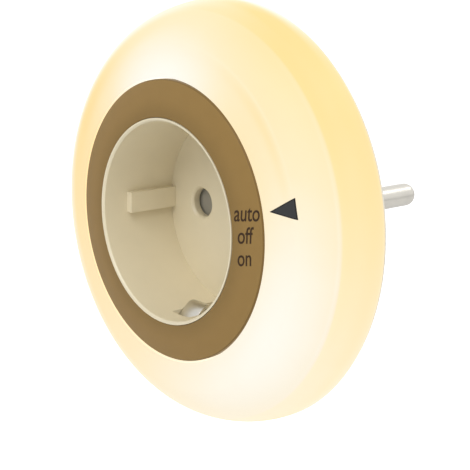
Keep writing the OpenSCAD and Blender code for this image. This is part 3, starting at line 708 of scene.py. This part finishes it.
def sleeved_can():
    """A dark blue sleeve with a dashed pale stripe along one side, and a bare end."""
    f = Finish("can_sleeve", 0.35)
    x, _, z = f.axes()
    turn = math.radians(14.0)
    dash_step, half_gap, stripe_r, bare_from = 2.4, 0.5, 31.6, 4.9
    along = z * math.cos(turn) - x * math.sin(turn)
    outwards = x * math.cos(turn) + z * math.sin(turn)
    dash = along.nearest(dash_step).op("ABSOLUTE").rise(half_gap, half_gap + 0.1) * 0.8 + 0.2
    bare = along.rise(bare_from, bare_from + 0.05)
    stripe = outwards.rise(stripe_r, stripe_r + 0.15) * dash * bare.inverse()
    fine = f.noise(5.0, 2.0)
    colours = [(0.0, linear(36, 46, 72)), (0.5, linear(206, 210, 218)), (1.0, linear(186, 188, 190))]
    f.link((stripe * 0.5 + bare + fine * 0.03).ramp(colours), "Base Color")
    f.link(bare, "Metallic")
    f.link(fine * 0.1 + 0.3, "Roughness")
    f.relief(fine, 0.003)
    softened("smoothing_capacitor", f.material, "can_sleeve", round_mm=0.08)


def inner_parts():
    for node, slot, colour, rough in (
            ("selector_ring", "selector_plastic", (96, 98, 100), 0.5),
            ("reflector", "reflector_white", (244, 244, 240), 0.3),
            ("contact_carrier", "carrier_resin", (196, 186, 164), 0.5),
            ("shutter", "shutter_plastic", (150, 146, 134), 0.45),
            ("dropper_capacitor", "film_capacitor", (204, 168, 62), 0.35),
            ("fuse", "fuse_ceramic", (214, 210, 200), 0.4),
            ("line_lead", "lead_brown", (104, 66, 40), 0.5),
            ("neutral_lead", "lead_blue", (54, 92, 160), 0.5)):
        softened(node, moulded(slot, linear(*colour), rough, mottle=0.04), slot, round_mm=0.08)
    banded_resistors()
    lit_lamps()
    etched_board()
    sleeved_can()
    black = moulded("chip_black", linear(40, 40, 42), 0.5)
    softened("bridge_rectifier", black, "chip_black", round_mm=0.08)
    softened("switch_transistor", black, "chip_black", round_mm=0.05)
    clear = moulded("sensor_clear", linear(226, 230, 236), 0.12, mottle=0.02, grain=6.0, depth=0.001,
                    Transmission_Weight=0.6, IOR=1.5)
    softened("light_sensor", clear, "sensor_clear", round_mm=0.08)
    softened("pointer_mark", pointer_print(), "pointer_print", round_mm=0.03)


# ---- Light and stage ----

def lamp(name, azimuth, elevation, distance, size, watts):
    """A round soft lamp that faces the rim's centre, with its angles in degrees and its sizes in metres."""
    a, e = math.radians(azimuth), math.radians(elevation)
    back = Vector((math.sin(a) * math.cos(e), -math.cos(a) * math.cos(e), math.sin(e)))
    data = bpy.data.lights.new(name, "AREA")
    data.shape, data.size, data.energy = "DISK", size, watts
    light = bpy.data.objects.new(name, data)
    bpy.context.scene.collection.objects.link(light)
    light.matrix_world = Matrix.Translation(RIM_CENTRE + back * distance) @ \
        back.to_track_quat("Z", "Y").to_matrix().to_4x4()


def white_room():
    """A room that lights the light evenly and shows white behind it."""
    world = bpy.data.worlds.new("room")
    bpy.context.scene.world = world
    world.use_nodes = True
    tree = world.node_tree
    tree.nodes.clear()
    path = tree.nodes.new("ShaderNodeLightPath")
    seen = Value(tree, path.outputs["Is Camera Ray"]) + Value(tree, path.outputs["Is Glossy Ray"])
    seen = (seen + Value(tree, path.outputs["Is Transmission Ray"])).between()
    light_level, seen_level = 0.55, 1.0
    sky = tree.nodes.new("ShaderNodeBackground")
    sky.inputs["Color"].default_value = (1.0, 1.0, 1.0, 1.0)
    tree.links.new((seen * (seen_level - light_level) + light_level).socket, sky.inputs["Strength"])
    out = tree.nodes.new("ShaderNodeOutputWorld")
    tree.links.new(sky.outputs[0], out.inputs["Surface"])


def floor():
    half_m, below_m = 8.0, 0.12
    bm = bmesh.new()
    bmesh.ops.create_grid(bm, x_segments=1, y_segments=1, size=half_m)
    bmesh.ops.translate(bm, verts=bm.verts, vec=(0, 0, -below_m))
    mesh = bpy.data.meshes.new("floor")
    bm.to_mesh(mesh)
    bm.free()
    f = Finish("floor", 0.9)
    f.set("Base Color", (*linear(240, 240, 240), 1.0))
    f.set("Specular IOR Level", 0.1)
    path = Value(f.tree, f.tree.nodes.new("ShaderNodeLightPath").outputs["Is Camera Ray"])
    f.set("Emission Color", (1.0, 1.0, 1.0, 1.0))
    f.link(path * 0.6, "Emission Strength")
    mesh.materials.append(f.material)
    plane = bpy.data.objects.new("floor", mesh)
    bpy.context.scene.collection.objects.link(plane)


glow_diffuser()
bronze_dial()
dial_words()
housings()
metal_parts()
inner_parts()
white_room()
floor()
lamp("key", azimuth=20.0, elevation=45.0, distance=1.2, size=0.8, watts=7.0)
lamp("fill", azimuth=80.0, elevation=20.0, distance=1.5, size=1.0, watts=2.0)
lamp("rear", azimuth=150.0, elevation=50.0, distance=1.2, size=0.4, watts=3.2)

bpy.context.scene.view_settings.view_transform = "Standard"
